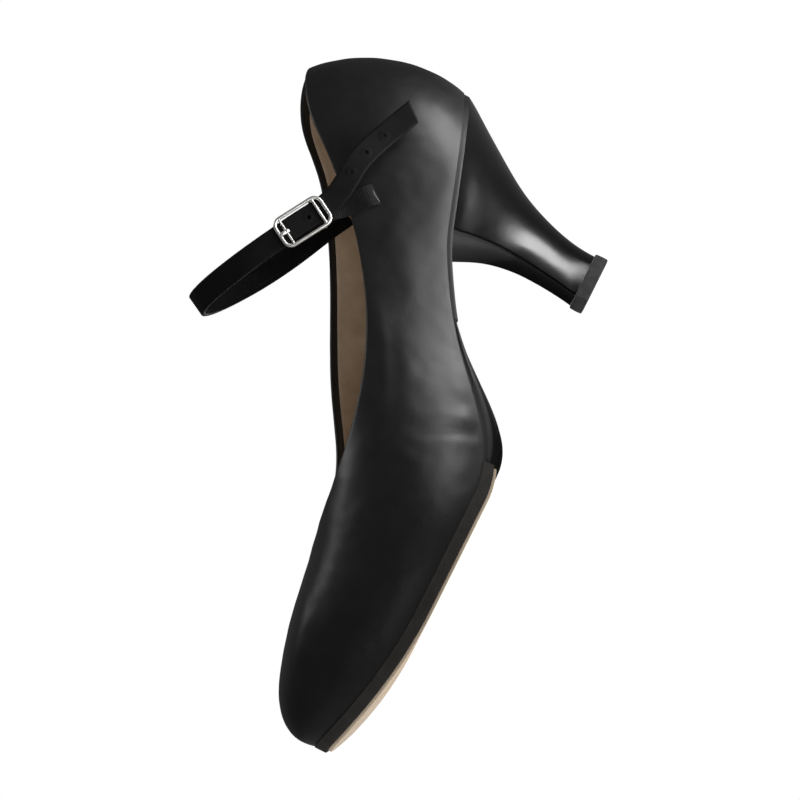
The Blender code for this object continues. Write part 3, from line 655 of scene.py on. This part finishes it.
lining = {
    "rows": (56, 1, 28),  # of the upper's rows: from below the folded edge down to the insole
    "edge": (57, 0.2),  # the row of its thinned edge, and how far in that lies
    "near": 0.03, "far": 0.5,  # how far in its two faces lie
}


def makeLining():
    rows = np.linspace(*lining["rows"]).round().astype(int)
    inward = -surfaceNormals(outerFace)
    near, far = innerFace + inward * lining["near"], innerFace + inward * lining["far"]
    row, reach = lining["edge"]
    edge = innerFace[row] + inward[row] * reach
    rings = np.concatenate([near[rows[::-1]], [edge], far[rows]])[:, ::2]
    finishPiece("lining", ringsMesh(rings, closedAlong=True), "lining")


makeLining()
print("lining")


def plateRing(x, low, high, topAt, bottomAt, section):
    # one closed ring of a plate: flat top, shaped edge, underside.
    # section: points across, rounding of the lower edge, steps of it, bulge of the edge
    middle, half = (low + high) / 2, (high - low) / 2
    across, rounding, steps, belly = section
    ring = [(x, middle + half * s, topAt(x, s)) for s in np.linspace(-1, 1, across)]
    inner = max(half - rounding, half * 0.55)
    for sign in (1, -1):
        topZ, lowZ = topAt(x, sign), bottomAt(x, sign)
        side = [(x, middle + sign * half, topZ - (topZ - lowZ) * 0.3),
                (x, middle + sign * (half + belly), topZ - (topZ - lowZ) * 0.5)]
        for i in range(1, steps + 1):
            angle = pi / 2 * i / steps
            reach = inner + (half - inner) * cos(angle)
            z = lowZ + (half - inner) * (1 - sin(angle))
            side.append((x, middle + sign * reach, min(z, topZ)))
        if sign > 0:
            ring += side + [(x, middle + inner * s, bottomAt(x, s)) for s in np.linspace(0.96, -0.96, across)]
        else:
            ring += side[::-1]
    return ring


def stations(start, end, count, easeStart, easeEnd):
    t = np.linspace(0, 1, count + 1)
    if easeStart and easeEnd:
        t = (1 - np.cos(pi * t)) / 2
    elif easeEnd:
        t = np.sin(pi / 2 * t)
    elif easeStart:
        t = 1 - np.cos(pi / 2 * t)
    return start + (end - start) * t


def makePlate(name, look, stands, plate, places, topAt, bottomAt):
    outline = Outline(plate["inset"])
    rings = [plateRing(x, outline.innerY(x), outline.outerY(x), topAt, bottomAt, plate["section"])
             for x in places]
    finishPiece(name, ringsMesh(rings), look, [stands])


sole = {
    "start": 84.6,
    "thick": 4.1,  # the edge paint runs a little over the suede
    "inset": -0.4,  # below 0 it stands out
    "section": (17, 0.5, 6, 0.06),
}
tread = {
    "thick": 0.8,
    "inset": 0.8,
    "worn": (0.22, 118, 26),  # how much thinner under the ball, its place and half length
    "section": (25, 0.45, 5, 0),
}
soleEnd = 0.12  # a plate stops this short of its outline's tip


def makeForefootSole():
    places = stations(sole["start"], Outline(sole["inset"]).maxX - soleEnd, 150, False, True)
    makePlate("sole_edge", "sole", "forefoot_sole", sole, places, pressedTop,
              lambda x, s: soleTop(x) - sole["thick"])


def makeTread():
    places = stations(sole["start"] + tread["inset"], Outline(tread["inset"]).maxX - soleEnd, 180, False, True)
    top, bottom = -sole["thick"] - lines["pressed"], -sole["thick"] - lines["gap"] - tread["thick"]
    depth, middle, reach = tread["worn"]

    def under(x, s):
        worn = depth * exp(-((x - middle) / reach) ** 2) * (1 - s * s)
        return soleTop(x) + bottom + worn

    makePlate("suede_outsole", "suede", "suede_tread", tread, places,
              lambda x, s: soleTop(x) + top, under)


makeForefootSole()
makeTread()
print("forefoot sole")

arch = {
    "start": 41.6,
    "end": 84.1,
    "thick": [(41.6, 2.6), (52, 6.4), (62, 10.2), (71, 11.4), (78.5, 9.4), (84.1, 6.9)],
    "edgeShare": 0.45,  # of that thickness, what is left at the two edges
    "inset": 0.2,
    "under": (0.28, 0.48),  # how far it runs on under the seat sole and the forefoot sole
    "section": (61, 0.9, 8, 0.25),
    # folds of the soft panel: place across (1 is the outer edge), from and to along x, height, half width
    "folds": [
        (0.93, 44, 84, -0.35, 0.035), (0.84, 50, 82, 0.4, 0.045), (0.74, 54, 84, -0.45, 0.045),
        (0.6, 48, 80, 0.35, 0.06), (0.46, 56, 84, -0.4, 0.05), (0.28, 50, 82, 0.3, 0.07),
        (0.08, 54, 84, -0.35, 0.06), (-0.15, 48, 80, 0.3, 0.07), (-0.36, 56, 84, -0.4, 0.06),
        (-0.58, 50, 82, 0.35, 0.06), (-0.74, 54, 84, -0.4, 0.045), (-0.88, 48, 84, 0.35, 0.04),
    ],
}


def makeArchPanel():
    thickness = curveThrough(*zip(*arch["thick"]))

    def folds(x, s):
        height = 0
        for place, start, end, rise, width in arch["folds"]:
            rise *= 0.55 + 0.35 * sin(place * 23)
            bend = place + 0.035 * sin(x / 5.3 + place * 9)
            fade = min(1, max(0, (x - start) / 6)) * min(1, max(0, (end + 3 - x) / 5))
            height += rise * fade * exp(-((s - bend) / width) ** 2)
        return height

    def under(x, s):
        shape = arch["edgeShare"] + (1 - arch["edgeShare"]) * (1 - s * s)
        return soleTop(x) - float(thickness(x)) * shape - folds(x, s)

    behind, ahead = arch["under"]
    places = np.linspace(arch["start"] - behind, arch["end"] + ahead, 110)
    makePlate("arch_leather", "arch", "arch_panel", arch, places, pressedTop, under)


makeArchPanel()

seat = {
    "thick": 1.9,
    "inset": 0.4,
    "even": 16,  # from here on its rows are evenly spaced
    "section": (13, 0.4, 5, 0),
}


def makeSeatSole():
    back, end = Outline(seat["inset"]).minX + soleEnd, arch["start"] - lines["gap"]
    places = np.concatenate([stations(back, seat["even"], 70, True, False),
                             np.linspace(seat["even"], end, 30)[1:]])
    makePlate("seat_leather", "arch", "seat_sole", seat, places, pressedTop,
              lambda x, s: soleTop(x) - seat["thick"])


makeSeatSole()

insole = {
    "thick": 1.6,
    "inset": 2.38,
    # hollows pressed by the foot under the heel and the ball: depth, place, half length
    "hollows": [(0.45, -14, 17), (0.35, 112, 22)],
    "section": (21, 0.5, 4, 0),
}


def makeInsole():
    outline = Outline(insole["inset"])
    places = stations(outline.minX + soleEnd, outline.maxX - soleEnd, 170, True, True)

    def top(x, s):
        pressed = sum(depth * exp(-((x - place) / reach) ** 2 - (s / 0.7) ** 2)
                      for depth, place, reach in insole["hollows"])
        return float(featherZ(x)) + insole["thick"] - pressed

    makePlate("insole_sock", "lining", "insole", insole, places, top,
              lambda x, s: float(featherZ(x)))


makeInsole()
print("arch, seat and insole")


heel = {
    # front x and z, back x and z, width, from the lift up
    "rows": [(9.2, 5.02, -8.9, 5.02, 17.6), (8.2, 12, -9.4, 12, 18), (7.2, 22, -11.8, 22.4, 20.4),
             (6.9, 31, -17.2, 36, 25.2), (7.7, 39.6, -24.6, 48, 32.4), (9.4, 46.6, -32.6, 59.4, 40.8),
             (11, 51.6, -38.4, 67.4, 47.4)],
    "hollow": 2.4,  # depth of the breast's hollow
    "steps": 90,
    "corner": 0.55,  # rounding of the two long edges of the breast
}
lift = {
    "length": 20, "width": 19.6, "hollow": 0.8, "corner": 0.6,
    # height and how far the edge lies in there
    "rows": [(0, 1.6), (0.05, 0.5), (0.25, 0.16), (0.5, 0), (2.4, -0.05), (4.4, 0.05), (4.8, 0.2), (5, 0.5)],
}


def seatShape():
    outline = Outline(0.5)
    length = lines["breastX"] - outline.minX
    widest = outline.outerY(lines["breastX"])

    def shape(share):
        return outline.outerY(outline.minX + length * max(share, 0)) / widest

    return shape, 2 * widest, outline.minX


def heelRing(front, back, width, shape, piece):
    # a D-shaped ring: round back, straight sides, hollow front with rounded long edges
    along, corner, hollow = front - back, piece["corner"], piece["hollow"]
    shares = stations(0, 1, 34, True, False)
    cut = 1 - corner / along.length
    side = [(min(share, cut), width / 2 * shape(share)) for share in shares]
    ring = [front * s + back * (1 - s) + Vector((0, w, 0)) for s, w in reversed(side[1:])]
    ring.append(back.copy())
    ring += [front * s + back * (1 - s) - Vector((0, w, 0)) for s, w in side[1:]]
    half = width / 2 * shape(1) - corner
    unit = along.normalized()
    for i in range(25):
        across = -1 + 2 * i / 24
        ring.append(front + Vector((0, half * across, 0)) - unit * hollow * (1 - across * across))
    return [tuple(point) for point in ring]


def makeHeel():
    shape, seatWidth, backX = seatShape()
    drop = seat["thick"] + lines["gap"] + lines["pressed"]
    rows = heel["rows"] + [(lines["breastX"], lines["breastZ"] - drop,
                            backX, float(featherZ(backX)) - drop, seatWidth)]
    curve = curveThrough(range(len(rows)), rows)
    rings = [heelRing(Vector((frontX, 0, frontZ)), Vector((backX, 0, backZ)), width, shape, heel)
             for frontX, frontZ, backX, backZ, width in curve(np.linspace(0, len(rows) - 1, heel["steps"]))]
    finishPiece("gloss_heel", ringsMesh(rings), "heel", ["heel"], crisp=28)


def makeTopLift():
    shape = seatShape()[0]
    rings = []
    for z, cut in lift["rows"]:
        reach = lift["length"] / 2 - cut
        front, back = Vector((reach, 0, z)), Vector((-reach, 0, z))
        rings.append(heelRing(front, back, lift["width"] - 2 * cut, shape, lift))
    finishPiece("rubber_lift", ringsMesh(rings), "rubber", ["top_lift"])


makeHeel()
makeTopLift()
print("heel")


strap = {
    "width": 8.5, "thick": 1.6, "slope": 29,
    "buckleX": 34.8, "buckleZ": 103.6, "buckleY": 26.8, "turn": 0.11,
    "run": (9.6, 0, -9.2),
    "sewn": [(13, 92.4, 26), (20.5, 96.4, 27)],
    "leaves": (29.5, -21.8),
    "loop": [(46, -25.6), (60, -19.4), (69.5, -9.6), (73, 1.5), (69.8, 12.2), (62, 19.6), (53, 23.8)],
    "tail": [(18, 29.2, 96.3, 18), (8, 31, 95.4, 13), (-3.5, 31.6, 92, 19), (-17, 33.4, 86.2, 26)],
    "holes": (-5.5, 3, 11.5),  # x of the holes punched through the tail
    "pressedHole": 32.2,  # and of the one in the buckle, closed from behind
    "holeSize": 1.5,
    "raised": (0.16, 1.25, 0.4),  # the leather round a hole: height, radius, half width
    "slant": 0.3,
    "ends": (0.5, 0.9, 1.2, 1.3, 1.36),  # rows added past the last one, for the rounded rim
}


def surfaceTree(points):
    rows, columns = points.shape[:2]
    faces = [(j * columns + i, j * columns + (i + 1) % columns, (j + 1) * columns + (i + 1) % columns,
              (j + 1) * columns + i) for j in range(rows - 1) for i in range(columns)]
    return BVHTree.FromPolygons([Vector(p) for p in points.reshape(-1, 3)], faces)


outerTree, innerTree = surfaceTree(outerFace), surfaceTree(innerFace)


def outsideY(x, z):
    hit = outerTree.ray_cast(Vector((x, 80, z)), Vector((0, -1, 0)))[0]
    return hit.y if hit and hit.y > 0 else None


def insideInnerY(x, z):
    hit = innerTree.ray_cast(Vector((x, 0, z)), Vector((0, -1, 0)))[0]
    return hit.y if hit else None


def loopZ(x):
    return strap["buckleZ"] + (x - strap["buckleX"]) * tan(radians(strap["slope"]))


def strapRows():
    rows = []
    for x, z, pitch in strap["sewn"]:
        found = [insideInnerY(x, z - strap["width"] * share) for share in (0.5, 0.25, 0, -0.25, -0.5)]
        nearest = max(y for y in found if y is not None)
        rows.append((x, nearest + strap["thick"] / 2 + 1, z, pitch))
    for x, y in [strap["leaves"]] + strap["loop"]:
        rows.append((x, y, loopZ(x), strap["slope"]))
    for along in strap["run"]:
        x = strap["buckleX"] + along
        rows.append((x, strap["buckleY"] - strap["turn"] * along, loopZ(x), strap["slope"]))
    return rows + strap["tail"]


def bandFrames(rows, spacing):
    # places along a band with its direction, width direction and face direction
    rows = np.array(rows)
    knots = distances(rows[:, :3])
    curve = curveThrough(knots, rows)
    frames = []
    for place in np.linspace(0, knots[-1], max(2, round(knots[-1] / spacing)) + 1):
        here = curve(float(place))
        ahead, behind = curve(float(min(place + 0.2, knots[-1]))), curve(float(max(place - 0.2, 0)))
        along = Vector((ahead - behind)[:3]).normalized()
        pitch = radians(here[3])
        face = Vector((-sin(pitch), 0, cos(pitch))).cross(along).normalized()
        frames.append((Vector(here[:3]), along, along.cross(face).normalized(), face))
    return frames


def bandSection(width, thick, crown=0.2, groove=0.13, grooveAt=1.1):
    # distance across and height: a crowned face with a groove near each edge, round sides, a flat back
    half, depth = width / 2, thick / 2
    top = [(half * s, depth + crown * (1 - s * s)
            - groove * exp(-((half * (1 - abs(s)) - grooveAt) / 0.28) ** 2))
           for s in np.linspace(0.9, -0.9, 37)]
    edge = [(-half + depth * 0.55 * (1 - sin(a)), depth * cos(a))
            for a in np.linspace(0.35, pi - 0.35, 9)]
    under = [(half * s, -depth) for s in np.linspace(-0.9, 0.9, 13)]
    other = [(-a, -b) for a, b in edge]
    return top + edge + under + other


def bandRings(frames, section, slant=None, ripple=None):
    rings, places = [], [0]
    for before, after in zip(frames, frames[1:]):
        places.append(places[-1] + (after[0] - before[0]).length)
    length = places[-1]
    for (point, along, across, face), place in zip(frames, places):
        lift = ripple(place) if ripple else 0
        lean, narrow, thin = 0, 1, 1
        if slant:
            # the end is cut at a slant, its rim rounded over
            lean = slant * max(0, 1 - (length - place) / 6) * copysign(1, across.z)
            rim = max(0, 1 - (length - place) / 0.5)
            narrow, thin = 1 - 0.08 * rim ** 2, 1 - 0.5 * rim ** 2
        rings.append([tuple(point + across * a * narrow + along * a * lean
                            + face * (b * thin + copysign(lift, b))) for a, b in section])
    return rings


def cutHoles(piece, places, radius):
    for point, face in places:
        bm = bmesh.new()
        bmesh.ops.create_cone(bm, cap_ends=True, segments=28, radius1=radius, radius2=radius, depth=6)
        turned = face.to_track_quat("Z", "Y").to_matrix().to_4x4()
        bmesh.ops.transform(bm, matrix=Matrix.Scale(mm, 4) @ Matrix.Translation(point) @ turned, verts=bm.verts)
        mesh = meshFrom("punch", bm)
        punch = placed("punch", mesh)
        cut = piece.modifiers.new("hole", "BOOLEAN")
        cut.operation, cut.solver, cut.object = "DIFFERENCE", "EXACT", punch
        made = bpy.data.meshes.new_from_object(piece.evaluated_get(bpy.context.evaluated_depsgraph_get()))
        piece.modifiers.clear()
        old, piece.data = piece.data, made
        bpy.data.meshes.remove(old)
        bpy.data.objects.remove(punch, do_unlink=True)
        bpy.data.meshes.remove(mesh)


def makeStrap():
    frames = bandFrames(strapRows(), 0.55)
    point, along, across, face = frames[-1]
    frames += [(point + along * reach, along, across, face) for reach in strap["ends"]]
    section = bandSection(strap["width"], strap["thick"])
    rings = np.array(bandRings(frames, section, slant=strap["slant"]))
    tailFrames = frames[len(frames) // 2:]
    holes = []
    for x in strap["holes"] + (strap["pressedHole"],):
        place = min(tailFrames, key=lambda one: abs(one[0].x - x))
        outer = place[3] if place[3].y > 0 else -place[3]
        holes.append((place[0], outer))
    height, radius, width = strap["raised"]
    for point, face in holes:
        away = rings - np.array(point)
        high = away @ np.array(face)
        flat = np.linalg.norm(away - high[..., None] * np.array(face), axis=2)
        ring = height * np.exp(-((flat - radius) / width) ** 2) * (high > 0.2)
        rings += ring[..., None] * np.array(face)
    piece = finishPiece("instep_strap", ringsMesh(rings), "strap", ["strap"])
    cutHoles(piece, holes[:-1], strap["holeSize"] / 2)
    point, face = holes[-1]
    cutHoles(piece, [(point + face * 2.6, face)], strap["holeSize"] / 2)


makeStrap()
print("strap")

buckle = {
    "length": 19, "width": 11, "corner": 2.9, "wire": 1.3, "clear": 0.15,
    "secondBar": 2.6,  # from the rear end to the bar beside it
    "underDepth": 4.4, "underAt": -6.2, "underWire": 0.5, "bend": 1,  # the bar that holds the elastic
    "pinBehind": 2.7,  # from the front bar back to the prong's pin
    "prong": 0.42,
    "lower": 0.4,  # it sits this much lower than the solid
}


def buckleFrame():
    frames = bandFrames(strapRows(), 0.5)
    target = Vector((strap["buckleX"], strap["buckleY"], strap["buckleZ"]))
    point, along, across, face = min(frames, key=lambda one: (one[0] - target).length)
    face = face if face.y > 0 else -face
    rising = across if across.z > 0 else -across
    clear = strap["thick"] / 2 + buckle["clear"] + buckle["wire"] / 2
    return point + face * clear - rising * buckle["lower"], -along, rising, face


buckleMiddle, buckleForward, buckleRising, buckleOut = buckleFrame()


def atBuckle(a, b, c=0):
    return buckleMiddle + buckleForward * a + buckleRising * b + buckleOut * c


def wireRings(points, radii, closed=False, sides=20):
    rings, first = [], None
    count = len(points)
    for i, point in enumerate(points):
        before = points[i - 1] if (i or closed) else point
        after = points[(i + 1) % count] if (i + 1 < count or closed) else point
        along = (after - before).normalized()
        guide = first or Vector((0.3, 0.9, 0.2))
        first = (guide - along * guide.dot(along)).normalized()
        second = along.cross(first)
        radius = radii[i] if isinstance(radii, list) else radii
        rings.append([tuple(point + (first * cos(a) + second * sin(a)) * radius)
                      for a in np.linspace(0, 2 * pi, sides, endpoint=False)])
    return rings


def smoothRoute(points, count):
    points = np.array([tuple(p) for p in points])
    knots = distances(points)
    return [Vector(p) for p in curveThrough(knots, points)(np.linspace(0, knots[-1], count))]


def roundedRectangle(length, width, corner, steps=12):
    points = []
    for signA, signB, start in ((1, 1, 0), (-1, 1, 90), (-1, -1, 180), (1, -1, 270)):
        for i in range(steps + 1):
            angle = radians(start + 90 * i / steps)
            points.append((signA * (length / 2 - corner) + corner * cos(angle),
                           signB * (width / 2 - corner) + corner * sin(angle)))
    return points


def makeBuckle():
    half = buckle["width"] / 2
    outline = [atBuckle(a, b) for a, b in roundedRectangle(buckle["length"], buckle["width"], buckle["corner"])]
    bm = ringsMesh(wireRings(outline, buckle["wire"] / 2, closed=True), closedAlong=True)
    rear = buckle["secondBar"] - buckle["length"] / 2
    rows = [atBuckle(rear, b) for b in np.linspace(-half, half, 9)]
    addRings(bm, wireRings(rows, buckle["wire"] * 0.42))
    deep, bend = -buckle["underDepth"], buckle["bend"]
    route = [(half, 0), (half, bend + deep)]
    route += [(half - bend * (1 - cos(a)), deep + bend * (1 - sin(a))) for a in np.linspace(0.25, 1.57, 6)]
    route += [(-b, c) for b, c in reversed(route)]
    addRings(bm, wireRings([atBuckle(buckle["underAt"], b, c) for b, c in route], buckle["underWire"]))
    finishPiece("nickel_buckle", bm, "nickel", ["buckle_frame"])


def addRings(bm, rings):
    mesh = meshFrom("extra", ringsMesh(rings))
    bm.from_mesh(mesh)
    bpy.data.meshes.remove(mesh)


def makeProng():
    # a flat tongue that turns on a pin behind the front bar and rests on the bar
    front = buckle["length"] / 2
    half = buckle["width"] / 2 - 0.2
    pin, radius = front - buckle["pinBehind"], buckle["prong"]
    bm = ringsMesh(wireRings([atBuckle(pin, b) for b in np.linspace(-half, half, 9)], radius))
    turns = [atBuckle(pin + 0.86 * cos(a), 0, 0.86 * sin(a)) for a in np.linspace(-5.2, 1.2, 30)]
    over = buckle["wire"] / 2 + 0.34
    reach = [atBuckle(front + a, 0, over + c) for a, c in ((-1.2, 0.1), (-0.1, 0), (0.55, -0.16))]
    route = turns + smoothRoute([turns[-1]] + reach, 16)[1:]
    radii = [radius] * (len(route) - 5) + [0.4, 0.37, 0.32, 0.24, 0.12]
    addRings(bm, wideRings(route, radii, buckleRising, 1.75))
    finishPiece("nickel_prong", bm, "nickel", ["buckle_prong"])


def wideRings(points, radii, wide, share):
    # a wire whose section is wider in one direction
    rings = []
    for ring, point in zip(wireRings(points, radii), points):
        moved = [Vector(one) - point for one in ring]
        rings.append([tuple(point + one + wide * one.dot(wide) * (share - 1)) for one in moved])
    return rings


makeBuckle()
makeProng()
print("buckle")

elastic = {
    "width": 8, "thick": 0.9,
    "start": (13.5, 84.7),  # x and z of the slit in the quarter
    "pitch": 36,
    "above": 0.35,  # over the quarter
    "across": -0.5,  # where it lies on the buckle's under bar
    "rib": 0.95, "ribHeight": 0.2,
    # the worn lip of the slit, lighter grey as a painted highlight: how far out, radius, and how much shorter
    # than the width
    "lip": (0.75, 0.42, 0.4),
}


def elasticRows():
    bar = atBuckle(buckle["underAt"], elastic["across"], -buckle["underDepth"])
    wrap = 0.5 + 0.25 + elastic["thick"] / 2
    startX, startZ = elastic["start"]
    rows = []
    for share, sunk in ((0, 1.3), (0.09, 0.15), (0.28, 0), (0.56, 0)):
        x, z = startX + (bar.x - startX) * share, startZ + (bar.z - startZ) * share
        reach = [outsideY(x, z + offset) for offset in (-3.6, 0, 3.6)]
        y = max(y for y in reach if y is not None) + elastic["thick"] / 2 + elastic["above"] - sunk
        rows.append((x, y, z, elastic["pitch"]))
    last = bar + buckleOut * wrap - buckleForward * 1.2
    rows.append((*last, 33))
    for degrees in (60, 20, -20, -60, -90):
        angle = radians(degrees)
        point = bar + buckleOut * sin(angle) * wrap + buckleForward * cos(angle) * wrap
        rows.append((*point, 30))
    rows.append((*(bar - buckleOut * wrap - buckleForward * 1.6), 30))
    return rows


def makeElastic():
    frames = bandFrames(elasticRows(), 0.16)
    section = bandSection(elastic["width"], elastic["thick"], crown=0.05, groove=0)
    ripple = lambda place: elastic["ribHeight"] * (abs(sin(pi * place / elastic["rib"])) - 0.6)
    finishPiece("elastic_band", ringsMesh(bandRings(frames, section, ripple=ripple)), "elastic",
                ["elastic_tab"], crisp=50)
    startX, startZ = elastic["start"]
    lean = radians(elastic["pitch"])
    out, radius, shorter = elastic["lip"]
    half = elastic["width"] / 2 - shorter
    shares, route = np.linspace(-1, 1, 25), []
    for share in shares:
        x = startX - sin(lean) * half * share + 0.5 - 0.4 * share * share
        z = startZ + cos(lean) * half * share + 0.4
        route.append(Vector((x, outsideY(x, z) + out, z)))
    radii = [radius * sqrt(max(0.04, 1 - abs(s) ** 5)) for s in shares]
    # the lip's light grey look is a painted highlight over its worn edge
    finishPiece("slit_lip", ringsMesh(wireRings(route, radii)), "slit")


makeElastic()
print("elastic")
